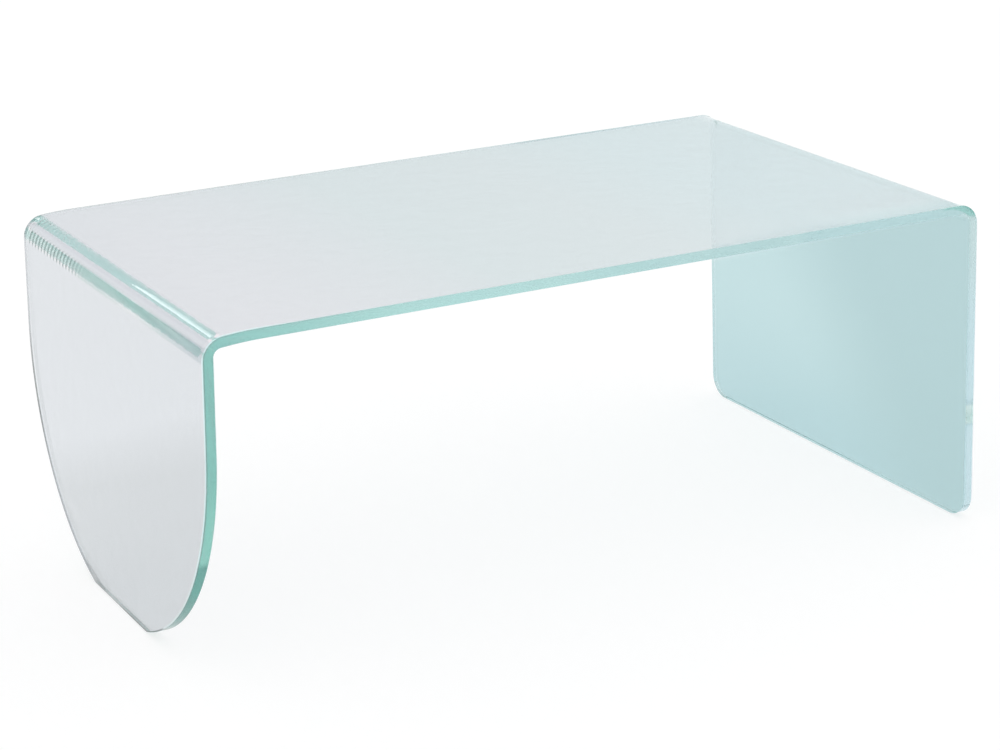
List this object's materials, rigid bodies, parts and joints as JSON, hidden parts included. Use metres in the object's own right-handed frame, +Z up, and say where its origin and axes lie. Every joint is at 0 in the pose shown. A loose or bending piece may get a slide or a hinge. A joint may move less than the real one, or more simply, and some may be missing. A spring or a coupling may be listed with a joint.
{
  "type": "waterfall coffee table",
  "caption": "Low rectangular table of one clear glass sheet bent down into two end legs, a shield-shaped leg and a square leg with rounded lower corners.",
  "frame": {"origin": "centre of the table's footprint, on the floor under the glide strips", "axes": "+X along the table towards the square leg, +Y across it towards the rear long edge, +Z up"},
  "size_m": [1, 0.57, 0.4015],
  "materials": {
    "clear_glass": "12 mm clear float glass with a green tint, flat-polished edges with a small arris",
    "clear_strip": "clear soft polyurethane glide strip, satin",
    "adhesive_film": "clear pressure-sensitive adhesive film"
  },
  "bodies": {
    "root": {"bent_glass_sheet": "clear_glass", "left_foot_pad": "clear_strip", "left_foot_adhesive": "adhesive_film", "right_front_foot_pad": "clear_strip", "right_front_foot_adhesive": "adhesive_film", "right_rear_foot_pad": "clear_strip", "right_rear_foot_adhesive": "adhesive_film"}
  },
  "joints": []
}
